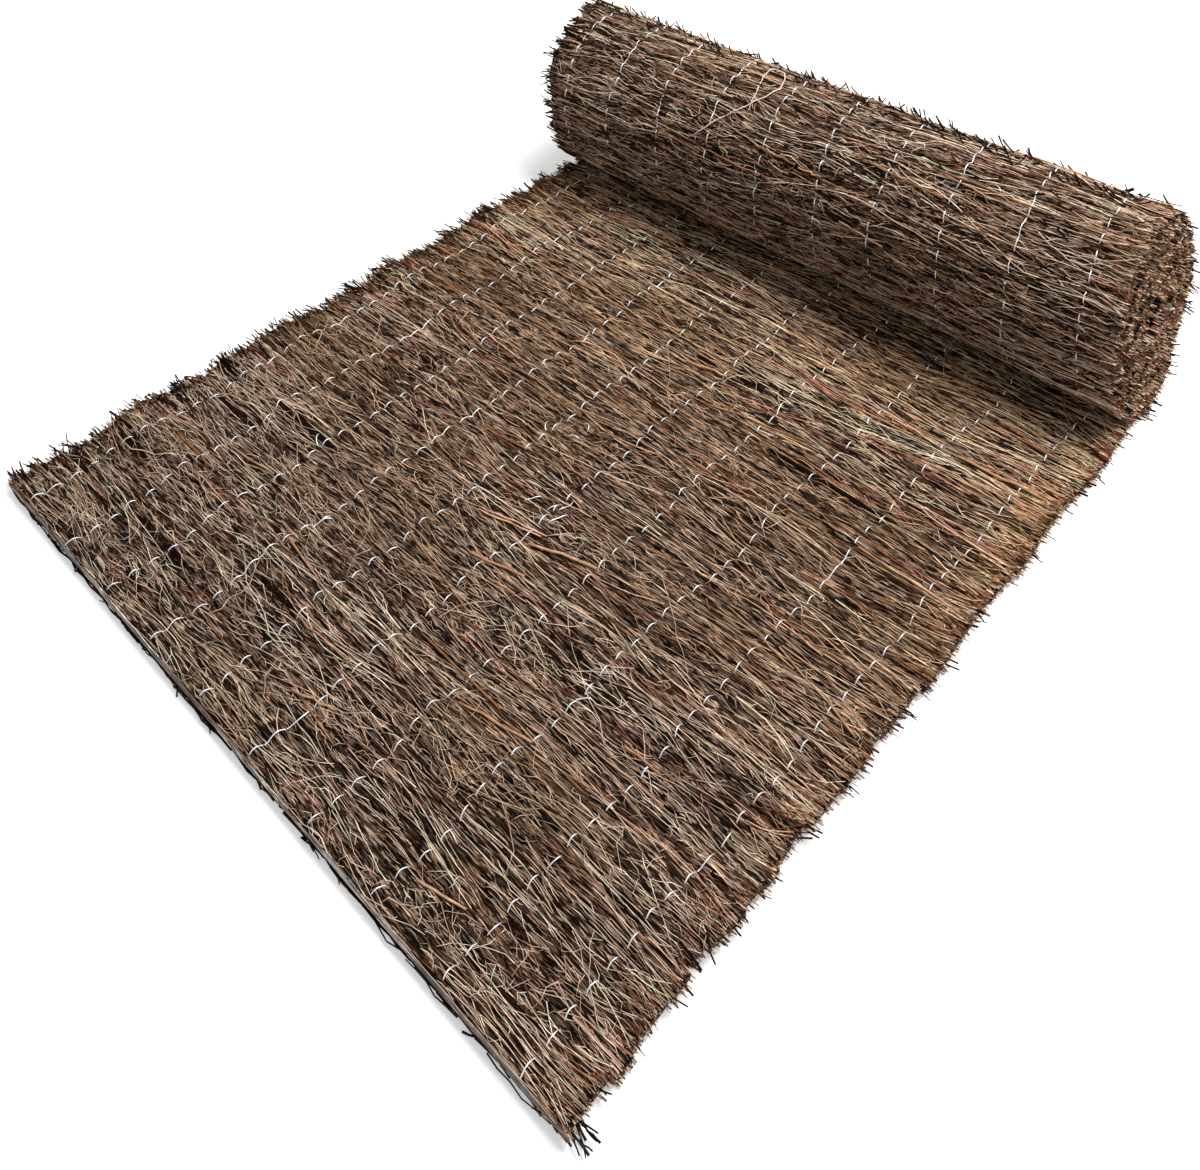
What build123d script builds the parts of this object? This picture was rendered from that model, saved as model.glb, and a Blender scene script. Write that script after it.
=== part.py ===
"""A heather screen, partly unrolled: twigs in bundles, bound by rows of wire on both sides."""
from build123d import *
import math
import os

os.makedirs("parts", exist_ok=True)

# The mat
mat_width = 1000
mat_thickness = 16.5
bundle_pitch = 25
ridge_depth = 3
flat_bundles = 43
bundle_swell = 1
left_raggedness = 6
right_raggedness = 3

# The roll: an oval spiral that leans a little to the left and is shorter at its top
roll_reach = 140.5
roll_core = 34
turn_pitch = 19.9
roll_narrowing = 0.87
roll_lean = 42
roll_taper = 73
left_end_sweep = 0.12
round_bundles = 30

# The wires
wire_rows = 10
wire_diameter = 1.2
wire_clearance = 0.6
wire_slack = 0.4
wire_bridge = 3
wrap_bundles = 3

# Humps of the flat run: place along the mat, height, width before and behind the crest
humps = [(0, 5, 20, 26), (165, 14, 46, 47), (318, 9, 34, 40), (415, 7, 30, 32), (615, 8, 36, 36), (800, 9, 42, 42)]

# Bundles of the flat run that reach the floor, apart from the last one, under the roll
resting_bundles = [2, 20, 36]
notch_width = 3.2
notch_height = 3.5
gap_width = 2.5
gap_length = 95
gap_count = 22

# Worked out from the sizes above
flat_length = flat_bundles * bundle_pitch
roll_bundles = int(math.pi * (roll_reach**2 - roll_core**2) / (turn_pitch * bundle_pitch))
row_spacing = mat_width / wire_rows
wire_room = wire_diameter + 2 * wire_clearance
roll_centre_height = roll_reach + wire_room
roll_height = roll_centre_height + roll_reach - turn_pitch / 2
wire_offset = wire_clearance + wire_diameter / 2
soles = resting_bundles + [flat_bundles - 1]


def lift(x):
    """Height of the mat's underside above the floor, x along the flat run."""
    height = wire_room
    for place, crest, before, behind in humps:
        width = before if x < place else behind
        height += crest * math.exp(-(((x - place) / width) ** 2))
    return height


def turn_angle(along):
    """Angle wound, counted from the floor, by a length of mat along the roll's outside."""
    inner = roll_reach**2 - turn_pitch * along / math.pi
    return (roll_reach - math.sqrt(inner)) * 2 * math.pi / turn_pitch


def strip_point(along, above):
    """X and Z of a point of the mat: its distance from the near edge, and its height over the underside."""
    if along <= flat_length:
        return along, lift(along) + above
    angle = turn_angle(along - flat_length)
    radius = roll_reach - turn_pitch * angle / (2 * math.pi) - above
    x = flat_length + roll_narrowing * radius * math.sin(angle)
    return x, roll_centre_height - radius * math.cos(angle)


def sideways(y, z):
    """Where a point at y on the floor comes to lie at the height z, because the roll leans and tapers."""
    return y + z / roll_height * (roll_lean - roll_taper * y / mat_width)


def uneven(number, span):
    """A small irregular value for a bundle, between minus and plus span."""
    return span * math.sin(2.3 * number + 1.4 * math.sin(3.1 * number))


def crest(number):
    """How thick a bundle is at its crests."""
    return mat_thickness + uneven(number, bundle_swell)


def bundle_outline(number):
    """The section of one bundle, rounder where it shows, with the valleys that it shares."""
    start, middle, end = [(number + share) * bundle_pitch for share in (0, 0.5, 1)]
    before, behind = [(number + share) * bundle_pitch for share in (0.25, 0.75)]
    low, high, top = ridge_depth, mat_thickness - ridge_depth, crest(number)
    if number in soles:
        under = [(before, -lift(before)), (behind, -lift(behind))]
    elif flat_bundles <= number < flat_bundles + round_bundles:
        under = [(before, low / 4), (middle, 0), (behind, low / 4)]
    else:
        under = [(middle, 0)]
    over = [(middle, top)]
    if number < flat_bundles:
        over = [(behind, top - low / 4), (middle, top), (before, top - low / 4)]
    corners = [(start, low)] + under + [(end, low), (end, high)] + over + [(start, high)]
    return [strip_point(along, above) for along, above in corners]


def bundle_ends(number):
    """Y of a bundle's right and left ends, cut unevenly."""
    x, z = strip_point((number + 0.5) * bundle_pitch, mat_thickness / 2)
    left = sideways(mat_width / 2, z) + uneven(number + 40, left_raggedness)
    if number >= flat_bundles:
        left += left_end_sweep * (x - flat_length)
    right = sideways(-mat_width / 2, z) + uneven(number, right_raggedness)
    return right, left


bundle_numbers = range(flat_bundles + roll_bundles)
outlines = [bundle_outline(number) for number in bundle_numbers]
ends = [bundle_ends(number) for number in bundle_numbers]

# The origin lies on the floor, under the middle of the whole
across = [x for outline in outlines for x, z in outline]
middle_x = (min(across) + max(across) + wire_clearance + wire_diameter) / 2
middle_y = (min(right for right, left in ends) + max(left for right, left in ends)) / 2


def wire_path(numbers, above, side):
    """The points of a tight wire over the crests of some bundles, on the mat's face (1) or back (-1)."""
    points = [strip_point((number + 0.5) * bundle_pitch, above(number)) for number in numbers]
    kept = [0]
    for index in range(1, len(points) - 1):
        (x, z), (ahead_x, ahead_z) = points[kept[-1]], points[index + 1]
        run_x, run_z = ahead_x - x, ahead_z - z
        proud = [
            side * (run_x * (skip_z - z) - run_z * (skip_x - x)) / math.hypot(run_x, run_z)
            for skip_x, skip_z in points[kept[-1] + 1 : index + 1]
        ]
        if max(proud) > wire_slack or min(proud) < -wire_bridge:
            kept.append(index)
    return [points[index] for index in kept + [len(points) - 1]]


def wire_outline(path, stretch):
    """The outline of a bent wire seen from the side, on a plane whose upright direction leans."""
    sides = [[], []]
    for index, (x, z) in enumerate(path):
        back, ahead = path[max(index - 1, 0)], path[min(index + 1, len(path) - 1)]
        run = math.dist(back, ahead)
        normal = (-(ahead[1] - back[1]) / run, (ahead[0] - back[0]) / run)
        for side, sign in zip(sides, (1, -1)):
            half = sign * wire_diameter / 2
            side.append((x + half * normal[0] - middle_x, (z + half * normal[1]) * stretch))
    return sides[0] + sides[1][::-1]


def row_place(row):
    """Y of a wire row on the floor."""
    return ((wire_rows - 1) / 2 - row) * row_spacing


def row_plane(row):
    """The leaning plane that a wire row lies in, and how much longer its upright direction is."""
    lean = sideways(row_place(row), 1) - row_place(row)
    plane = Plane(origin=(0, row_place(row) - middle_y, 0), x_dir=(1, 0, 0), z_dir=(0, -1, lean))
    return plane, math.hypot(1, lean)


# The mat, one extrusion for each bundle
bundles = []
for outline, (right, left) in zip(outlines, ends):
    with BuildPart() as bundle:
        with BuildSketch(Plane.XZ.offset(middle_y - left)):
            with BuildLine():
                Polyline(*[(x - middle_x, z) for x, z in outline], close=True)
            make_face()
        extrude(amount=left - right)
    bundles.append(bundle.part)

with BuildPart() as heather_mat:
    add(bundles)
    # Room for the back wires under the bundles that reach the floor
    with BuildSketch():
        for number in soles:
            for row in range(wire_rows):
                place = sideways(row_place(row), wire_room / 2)
                with Locations(((number + 0.5) * bundle_pitch - middle_x, place - middle_y)):
                    Rectangle(bundle_pitch, notch_width)
    extrude(amount=notch_height, mode=Mode.SUBTRACT)
    # Gaps where the bundles of the flat run don't close
    with BuildSketch():
        for gap in range(gap_count):
            valley = 4 + (gap * 7) % (flat_bundles - 9)
            place = uneven(gap + 5, mat_width / 2 - gap_length)
            with Locations((valley * bundle_pitch - middle_x, place - middle_y)):
                Rectangle(gap_width, gap_length + uneven(gap, gap_length / 2))
    extrude(amount=roll_reach / 2, mode=Mode.SUBTRACT)

heather_mat.part.label = "heather_mat"
export_step(heather_mat.part, "parts/heather_mat.step")

# The wires, a pair in each row
face_path = wire_path(range(flat_bundles + wrap_bundles), lambda number: crest(number) + wire_offset, 1)
back_path = wire_path(range(flat_bundles + round_bundles), lambda number: -wire_offset, -1)
for name, path in (("face_wire", face_path), ("back_wire", back_path)):
    for row in range(wire_rows):
        plane, stretch = row_plane(row)
        with BuildPart() as wire:
            with BuildSketch(plane):
                with BuildLine():
                    Polyline(*wire_outline(path, stretch), close=True)
                make_face()
            extrude(amount=wire_diameter / 2, both=True)
        wire.part.label = f"{name}_{row + 1:02d}"
        export_step(wire.part, f"parts/{wire.part.label}.step")
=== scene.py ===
"""Looks of the heather screen: twigs, cut ends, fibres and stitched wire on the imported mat, in metres."""
import math

import bpy
import numpy as np
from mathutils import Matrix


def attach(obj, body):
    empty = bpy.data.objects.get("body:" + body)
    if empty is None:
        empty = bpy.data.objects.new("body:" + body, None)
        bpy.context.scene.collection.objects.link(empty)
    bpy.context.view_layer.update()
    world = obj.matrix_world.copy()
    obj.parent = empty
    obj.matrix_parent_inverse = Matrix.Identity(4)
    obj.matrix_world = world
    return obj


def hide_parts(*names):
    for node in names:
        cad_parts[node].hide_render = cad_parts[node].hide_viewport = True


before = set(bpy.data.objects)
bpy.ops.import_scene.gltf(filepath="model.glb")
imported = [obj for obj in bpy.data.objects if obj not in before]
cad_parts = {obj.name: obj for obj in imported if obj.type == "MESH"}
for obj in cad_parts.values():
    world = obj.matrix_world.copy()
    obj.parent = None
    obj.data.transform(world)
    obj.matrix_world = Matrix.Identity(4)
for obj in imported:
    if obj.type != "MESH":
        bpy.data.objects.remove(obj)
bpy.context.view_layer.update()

bl_info = {
    "name": "Heather screen",
    "version": (1, 0, 0),
    "blender": (4, 5, 0),
    "location": "3D View > Sidebar > Heather",
    "description": "Dresses a partly unrolled heather screen with twigs, cut ends and stitched wire",
    "category": "Mesh",
}

# The mat and its roll, with the same values as the solid model
MAT_WIDTH = 1.0
MAT_THICKNESS = 0.0165
BUNDLE_PITCH = 0.025
RIDGE_DEPTH = 0.003
BUNDLE_SWELL = 0.001
FLAT_BUNDLES = 43
ROLL_BUNDLES = 117
ROLL_REACH = 0.1405
TURN_PITCH = 0.0199
ROLL_NARROWING = 0.87
ROLL_LEAN = 0.042
ROLL_TAPER = 0.073
LEFT_END_SWEEP = 0.12
WIRE_ROWS = 10
ROW_SPACING = MAT_WIDTH / WIRE_ROWS
WIRE_ROOM = 0.0024
FACE_WIRE_BUNDLES = 46
BACK_WIRE_BUNDLES = 73
GAP_COUNT = 22
GAP_LENGTH = 0.095
HUMPS = [
    (0, 0.005, 0.020, 0.026),
    (0.165, 0.014, 0.046, 0.047),
    (0.318, 0.009, 0.034, 0.040),
    (0.415, 0.007, 0.030, 0.032),
    (0.615, 0.008, 0.036, 0.036),
    (0.800, 0.009, 0.042, 0.042),
]
# Clefts where the twigs part: place along the mat, from and to across it, half the width
CLEFTS = [
    (0.076, 0.486, 0.447, 0.005),
    (0.137, 0.465, 0.400, 0.006),
    (0.266, 0.440, 0.350, 0.005),
    (0.311, 0.344, 0.233, 0.006),
    (0.084, 0.329, 0.229, 0.006),
    (0.066, 0.435, 0.336, 0.003),
    (0.134, 0.124, 0.068, 0.005),
    (0.119, -0.086, -0.115, 0.005),
    (0.119, -0.235, -0.251, 0.004),
    (0.074, -0.352, -0.374, 0.006),
    (0.766, -0.069, -0.112, 0.005),
    (0.764, 0.001, -0.032, 0.005),
    (0.689, -0.180, -0.350, 0.006),
]
FLAT_LENGTH = FLAT_BUNDLES * BUNDLE_PITCH
ROLL_CENTRE_HEIGHT = ROLL_REACH + WIRE_ROOM
ROLL_HEIGHT = ROLL_CENTRE_HEIGHT + ROLL_REACH - TURN_PITCH / 2
ROW_PLACES = [(WIRE_ROWS / 2 - 0.5 - row) * ROW_SPACING for row in range(WIRE_ROWS)]
LEFT_RAGGEDNESS = 0.006
RIGHT_RAGGEDNESS = 0.003
# The frame's origin, seen from the middle of the near edge
MIDDLE_X = 0.597367
MIDDLE_Y = 0.010773

# Length of the roll's outside that gets twigs, one turn and a little
OUTER_TURN = 0.80
# How far from the middle of the mat the middle of a twig may lie, so that the edges are full too
TWIG_SPREAD = 0.53
# How far twigs are pushed off the middle of a gap between bundles
GAP_HALF_WIDTH = 0.0012
# Least distance of a twig from the near edge
FIRST_PLACE = 0.0005
# Least height over the floor of any twig's underside, and of the middle of one that sticks out
FLOOR_CLEARANCE = 0.0003
LOW_TWIG = 0.0012
# How the colour of the twigs changes towards the roll: more red, less blue
WARMTH = np.array([0.10, 0.0, -0.12])
# Stretches of the flat run, finest twigs at the near end: name, start, end, coarseness, how much darker
STRETCHES = (
    ("near", 0.0, 0.36, 1.0, 0.02),
    ("middle", 0.36, 0.72, 1.1, 0.12),
    ("far", 0.72, 1.065, 1.15, -0.18),
)
# Kinds of twig in the order in which they are laid. Length and thickness are shares of a usual twig's.
TWIG_KINDS = {
    # Length, lean, crookedness, curl, sections, thickness, lowest and highest place, share of pale ones
    "packed": (0.27, 0.05, 0.12, 0.20, 4, 0.95, -0.0001, 0.0007, 0.50),
    "long": (0.70, 0.045, 0.07, 0.12, 6, 1.00, 0.0004, 0.0016, 0.50),
    "short": (0.24, 0.10, 0.16, 0.30, 4, 0.95, 0.0002, 0.0018, 0.47),
    "fibres": (0.14, 0.25, 0.42, 0.60, 4, 0.85, 0.0006, 0.0019, 0.75),
    "branches": (0.70, 0.13, 0.06, 0.30, 8, 1.3, 0.0016, 0.0024, 1.0),
    "loops": (0.50, 0.60, 0.16, 1.60, 9, 0.85, 0.0014, 0.0030, 0.9),
}


def linear(red, green, blue):
    """A colour written as on a screen, 0 to 255, turned into linear light."""
    return tuple(((c / 255 + 0.055) / 1.055) ** 2.4 if c > 10 else c / 3295 for c in (red, green, blue))


class HeatherTwigs(bpy.types.PropertyGroup):
    """Sizes and numbers of the twigs"""

    thickness: bpy.props.FloatProperty(
        name="Twig thickness", description="Thickness of a usual twig at its thick end", unit="LENGTH",
        default=0.00090,
    )
    length: bpy.props.FloatProperty(
        name="Twig length", description="Length of a usual long twig that shows", default=0.15, unit="LENGTH"
    )
    spacing: bpy.props.FloatProperty(
        name="Spacing", description="How far apart the packed twigs lie", default=0.0030, unit="LENGTH"
    )
    long_count: bpy.props.IntProperty(
        name="Long twigs", description="How many long twigs lie on a square metre", default=1500
    )
    short_count: bpy.props.IntProperty(
        name="Short twigs", description="How many short crooked twigs lie on a square metre", default=4900
    )
    fibre_count: bpy.props.IntProperty(
        name="Fibres", description="How many fine curly fibres lie on a square metre", default=4200
    )
    branch_count: bpy.props.IntProperty(
        name="Branches", description="How many long pale branches cross a square metre", default=200
    )
    loop_count: bpy.props.IntProperty(
        name="Loops", description="How many thin twigs on a square metre bend round in a loop", default=60
    )
    edge_count: bpy.props.IntProperty(
        name="Edge twigs", description="How many short twigs stick out of each long edge", default=1500
    )
    end_count: bpy.props.IntProperty(
        name="Cut ends", description="How many cut ends show in one end of a bundle", default=36
    )


class HeatherColours(bpy.types.PropertyGroup):
    """Colours of bark, wood and wire"""

    dark: bpy.props.FloatVectorProperty(
        name="Dark bark", description="Bark of the darkest twigs", subtype="COLOR", default=linear(24, 10, 5)
    )
    middle: bpy.props.FloatVectorProperty(
        name="Brown bark", description="Bark of a usual twig", subtype="COLOR", default=linear(146, 97, 62)
    )
    pale: bpy.props.FloatVectorProperty(
        name="Pale bark", description="Bark of the palest twigs", subtype="COLOR",
        default=linear(255, 229, 203),
    )
    red: bpy.props.FloatVectorProperty(
        name="Red bark", description="Bark in the reddish streaks", subtype="COLOR",
        default=linear(162, 98, 78),
    )
    olive: bpy.props.FloatVectorProperty(
        name="Olive bark", description="Bark in the olive patches", subtype="COLOR",
        default=linear(138, 110, 72),
    )
    orange: bpy.props.FloatVectorProperty(
        name="Bare twig", description="Thick twigs that lost their bark", subtype="COLOR",
        default=linear(184, 140, 104),
    )
    cut: bpy.props.FloatVectorProperty(
        name="Cut wood", description="Wood of the cut ends", subtype="COLOR", default=linear(128, 101, 79)
    )
    # The inside is painted almost black: the packed twigs' colour with painted shade between and under those
    # that show
    core: bpy.props.FloatVectorProperty(
        name="Inside", description="The packed twigs between and under those that show", subtype="COLOR",
        default=linear(18, 8, 4),
    )
    wire: bpy.props.FloatVectorProperty(
        name="Wire", description="Galvanized wire", subtype="COLOR", default=linear(250, 250, 252)
    )


class HeatherWire(bpy.types.PropertyGroup):
    """Shape of the stitched wires"""

    thickness: bpy.props.FloatProperty(
        name="Wire thickness", description="Thickness of the binding wire", default=0.0015, unit="LENGTH"
    )
    arch: bpy.props.FloatProperty(
        name="Arch", description="Height of the wire over a bundle's skin", default=0.0022, unit="LENGTH"
    )
    dive: bpy.props.FloatProperty(
        name="Dive", description="Depth of the wire between two bundles", default=0.0042, unit="LENGTH"
    )
    wander: bpy.props.FloatProperty(
        name="Wander", description="How far a row strays sideways", default=0.0050, unit="LENGTH"
    )


class HeatherStage(bpy.types.PropertyGroup):
    """The camera and the light"""

    camera_place: bpy.props.FloatVectorProperty(
        name="Camera place", description="Where the camera stands", subtype="XYZ",
        default=(-0.652485, -0.630613, 0.925288),
    )
    camera_turn: bpy.props.FloatVectorProperty(
        name="Camera turn", description="Which way the camera faces", subtype="EULER",
        default=(math.radians(43.1308), math.radians(1.6237), math.radians(-46.5616)),
    )
    lens: bpy.props.FloatProperty(name="Lens", description="Focal length in millimetres", default=28.9986)
    rise: bpy.props.FloatProperty(name="Lens rise", description="Vertical shift of the lens", default=-0.1125)
    sky: bpy.props.FloatProperty(name="Sky", description="Strength of the light from all round", default=0.42)
    lamp: bpy.props.FloatProperty(
        name="Lamp", description="Power of the soft lamp overhead", default=81.0, unit="POWER"
    )


# Places on the mat
def lift(x):
    """Height of the flat run's underside over the floor."""
    height = np.full_like(x, WIRE_ROOM)
    for place, crest, before, behind in HUMPS:
        width = np.where(x < place, before, behind)
        height = height + crest * np.exp(-(((x - place) / width) ** 2))
    return height


def mat_point(along, y, above):
    """Frame points at a place along and across the mat, and at a height over its underside."""
    along, y, above = np.broadcast_arrays(along, y, above)
    wound = np.maximum(along - FLAT_LENGTH, 0)
    inner = ROLL_REACH**2 - TURN_PITCH * wound / math.pi
    angle = (ROLL_REACH - np.sqrt(inner)) * 2 * math.pi / TURN_PITCH
    radius = ROLL_REACH - TURN_PITCH * angle / (2 * math.pi) - above
    flat = along <= FLAT_LENGTH
    x = np.where(flat, along, FLAT_LENGTH + ROLL_NARROWING * radius * np.sin(angle))
    z = np.where(flat, lift(along) + above, ROLL_CENTRE_HEIGHT - radius * np.cos(angle))
    leaning = y + z / ROLL_HEIGHT * (ROLL_LEAN - ROLL_TAPER * y / MAT_WIDTH)
    return np.stack([x - MIDDLE_X, leaning - MIDDLE_Y, z], -1)


def ridge(along):
    """How far up a bundle's side a place is: 0 between two bundles, and 1 on a crest."""
    return np.sin(math.pi * np.mod(along / BUNDLE_PITCH, 1))


def valley(along):
    """How deep the skin lies under a bundle's crest."""
    return RIDGE_DEPTH * (1 - ridge(along))


def uneven(number, span):
    """A small irregular value, the same as in the solid model."""
    return span * np.sin(2.3 * number + 1.4 * np.sin(3.1 * number))


def face_height(along):
    """Height of the face over the underside, with thicker and thinner bundles."""
    swell = uneven(np.floor(along / BUNDLE_PITCH), BUNDLE_SWELL)
    return MAT_THICKNESS - valley(along) + swell * ridge(along)


def skin_point(along, y, height):
    """Frame points at a height over the side that shows: the flat run's face or the roll's outside."""
    on_face = face_height(along) + height
    on_back = valley(along) - height
    return mat_point(along, y, np.where(along < FLAT_LENGTH, on_face, on_back))


def back_point(along, y, height):
    """Frame points at a height over the back, under the flat run and round the roll's outside."""
    return mat_point(along, y, -height + np.where(along < FLAT_LENGTH, 0, valley(along)))


def outward(along, y):
    """The direction away from the skin, for each tube."""
    return unit(skin_point(along, y, 0.004) - skin_point(along, y, 0.0))


def left_edge(along):
    """Where the mat's left edge lies, which sweeps back a little on the roll."""
    x = mat_point(along, 0.0, MAT_THICKNESS / 2)[..., 0] + MIDDLE_X
    return MAT_WIDTH / 2 + np.where(along < FLAT_LENGTH, 0, LEFT_END_SWEEP * (x - FLAT_LENGTH))


def bundle_edge(sign, along):
    """Where the uneven end of each twig's own bundle lies, at the left edge (1) or the right (-1)."""
    bundle = np.floor(along / BUNDLE_PITCH)
    if sign > 0:
        return left_edge(along) + uneven(bundle + 40, LEFT_RAGGEDNESS)
    return uneven(bundle, RIGHT_RAGGEDNESS) - MAT_WIDTH / 2


def slit_share(y, middle, half_length, reach, fade):
    """One along the middle of a slit across the mat, fading to nothing at its reach, in half lengths."""
    return np.clip(reach - np.abs(y - middle) / half_length, 0, fade) / fade


def pushed(along, place, half_width, share):
    """Twigs pushed off the middle line of a slit."""
    off = along - place
    return along + np.sign(off) * np.maximum(0, half_width - np.abs(off)) * share


def parted(along, y):
    """Twigs pushed aside where the mat has a cleft or a gap."""
    for place, start, end, half in CLEFTS:
        share = slit_share(y, (start + end) / 2, (start - end) / 2, 1.4, 0.6)
        along = pushed(along, place, 0.75 * half, share)
    for gap in range(GAP_COUNT):
        place = (4 + (gap * 7) % (FLAT_BUNDLES - 9)) * BUNDLE_PITCH
        middle = uneven(gap + 5, MAT_WIDTH / 2 - GAP_LENGTH)
        half = (GAP_LENGTH + uneven(gap, GAP_LENGTH / 2)) / 2
        along = pushed(along, place, GAP_HALF_WIDTH, slit_share(y, middle, half, 1.3, 0.3))
    return along


def row_nearness(y):
    """One on a row of wire, and almost nothing 2 cm away from it."""
    off = np.min([np.abs(y - place) for place in ROW_PLACES], 0)
    return np.exp(-((off / 0.012) ** 2))


def patches(along, y, seed, along_waves, across_waves):
    """Soft irregular patches between about minus and plus one, with their waves along and across the mat."""
    chance = np.random.default_rng(seed)
    total = 0
    for wave in range(8):
        quick = chance.uniform(*along_waves)
        slow = chance.uniform(*across_waves) * chance.choice([-1, 1])
        total = total + np.sin(quick * along + slow * y + chance.uniform(0, 2 * math.pi))
    return total / 2.6


# Meshes
def unit(vectors):
    """The same directions, one long."""
    return vectors / np.maximum(np.linalg.norm(vectors, axis=-1, keepdims=True), 1e-12)


def tube_rings(paths, radii, ups, sides, turns):
    """Rings of points round each path, in the order twig, section, side."""
    tangent = unit(np.gradient(paths, axis=1))
    ups = ups[:, None, :] if ups.ndim == 2 else ups
    across = unit(np.cross(tangent, ups))
    normal = np.cross(across, tangent)
    angles = turns[:, None] + np.arange(sides) * 2 * math.pi / sides
    wide = np.cos(angles)[:, None, :, None] * across[:, :, None, :]
    high = np.sin(angles)[:, None, :, None] * normal[:, :, None, :]
    return paths[:, :, None, :] + radii[:, :, None, None] * (wide + high)


def tube_faces(count, sections, sides):
    """Corner numbers of the walls and of the two caps of each tube, all facing outwards."""
    first = (np.arange(count) * sections * sides)[:, None, None]
    ring = (np.arange(sections - 1) * sides)[None, :, None]
    side = np.arange(sides)[None, None, :]
    beside = (side + 1) % sides
    here, ahead = first + ring, first + ring + sides
    walls = np.stack([here + side, ahead + side, ahead + beside, here + beside], -1).reshape(-1, 4)
    start = np.arange(count)[:, None] * sections * sides + np.arange(sides)[None, :]
    end = start[:, ::-1] + (sections - 1) * sides
    return walls, np.concatenate([start, end])


def new_piece(name, points, walls, caps, colours, materials, cap_material=0):
    """A mesh object from its points, its four-sided walls and its caps, with a colour at every point."""
    mesh = bpy.data.meshes.new(name)
    mesh.vertices.add(len(points))
    mesh.vertices.foreach_set("co", points.astype(np.float32).ravel())
    corners = np.concatenate([walls.ravel(), caps.ravel()]).astype(np.int32)
    mesh.loops.add(len(corners))
    mesh.loops.foreach_set("vertex_index", corners)
    starts = np.concatenate(
        [np.arange(len(walls)) * 4, walls.size + np.arange(len(caps)) * caps.shape[1]]
    ).astype(np.int32)
    mesh.polygons.add(len(starts))
    mesh.polygons.foreach_set("loop_start", starts)
    is_cap = np.arange(len(starts)) >= len(walls)
    for material in materials:
        mesh.materials.append(material)
    mesh.polygons.foreach_set("material_index", np.where(is_cap, cap_material, 0).astype(np.int32))
    mesh.update(calc_edges=True)
    mesh.polygons.foreach_set("use_smooth", ~is_cap)
    if colours is not None:
        layer = mesh.attributes.new("twig_colour", "FLOAT_COLOR", "POINT")
        rgba = np.concatenate([colours, np.ones((len(colours), 1))], 1)
        layer.data.foreach_set("color", rgba.astype(np.float32).ravel())
    piece = bpy.data.objects.new(name, mesh)
    bpy.context.scene.collection.objects.link(piece)
    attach(piece, "root")
    return piece


def twig_piece(name, paths, radii, ups, colours, chance, sides=3, cut_caps=False):
    """Twigs as one piece: thin tubes with a few sides, each with its own colour."""
    count, sections = paths.shape[:2]
    paths[..., 2] = np.maximum(paths[..., 2], radii + FLOOR_CLEARANCE)
    rings = tube_rings(paths, radii, ups, sides, chance.uniform(0, 2 * math.pi, count))
    walls, caps = tube_faces(count, sections, sides)
    shade = 1 + 0.10 * chance.standard_normal((count, sections, 1, 1))
    colours = np.clip(colours[:, None, None, :] * shade, 0.002, 0.9)
    colours = np.broadcast_to(colours, rings.shape).reshape(-1, 3)
    materials = [bark_material()] + [cut_material()] * cut_caps
    piece = new_piece(name, rings.reshape(-1, 3), walls, caps, colours, materials, int(cut_caps))


def wire_piece(name, paths, radius, ups, material):
    """Wires as one piece: round tubes of one thickness."""
    count, sections = paths.shape[:2]
    sides = 5
    rings = tube_rings(paths, np.full((count, sections), radius), ups, sides, np.zeros(count))
    walls, caps = tube_faces(count, sections, sides)
    piece = new_piece(name, rings.reshape(-1, 3), walls, caps, None, [material])
    return piece


def mixed(first, second, share):
    """Two sets of colours mixed, each by its own share of the second."""
    return first + (second - first) * share[..., None]


def twig_colours(chance, along, y, tone):
    """A colour for each twig: dark to pale by tone, with reddish streaks and olive patches."""
    colours = bpy.context.scene.heather_colours
    dark, middle, pale, red, olive = [
        np.array(c) for c in (colours.dark, colours.middle, colours.pale, colours.red, colours.olive)
    ]
    tone = np.clip(tone + 0.05 * patches(along, y, 5, (20, 160), (2, 14)), 0, 1)
    base = mixed(dark, middle, np.clip(tone * 2, 0, 1))
    base = mixed(base, pale, np.clip(tone * 2 - 1, 0, 1))
    strength = (0.25 + 1.4 * tone)[:, None]
    streaks = patches(along, y, 11, (60, 260), (4, 16))
    far = np.clip((along - 0.25) / 0.5, 0, 1) * (along < FLAT_LENGTH)
    redness = np.clip(0.30 * streaks + 0.12 * far + chance.normal(-0.05, 0.20, len(along)), 0, 0.7)
    base = mixed(base, red * strength, redness)
    fields = patches(along, y, 23, (8, 34), (3, 12))
    greenness = np.clip(0.28 * fields + 0.32 * far + chance.normal(-0.06, 0.16, len(along)), 0, 0.6)
    return mixed(base, olive * strength, greenness) * (1 + far[:, None] * WARMTH)


def flow(along, y):
    """How much the twigs of a place lean off straight across the mat."""
    wide = 0.05 * patches(along, y, 31, (8, 40), (4, 14))
    return wide + 0.10 * patches(along, y, 37, (40, 130), (14, 60))


def tangle(along, y):
    """How crooked the twigs of a place are: more near the near edge, and in patches."""
    usual = np.clip(1.15 - 0.6 * np.where(along < FLAT_LENGTH, along, 0.5), 0.5, 1.4)
    return usual * np.exp(0.5 * patches(along, y, 41, (10, 60), (5, 22)))


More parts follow.
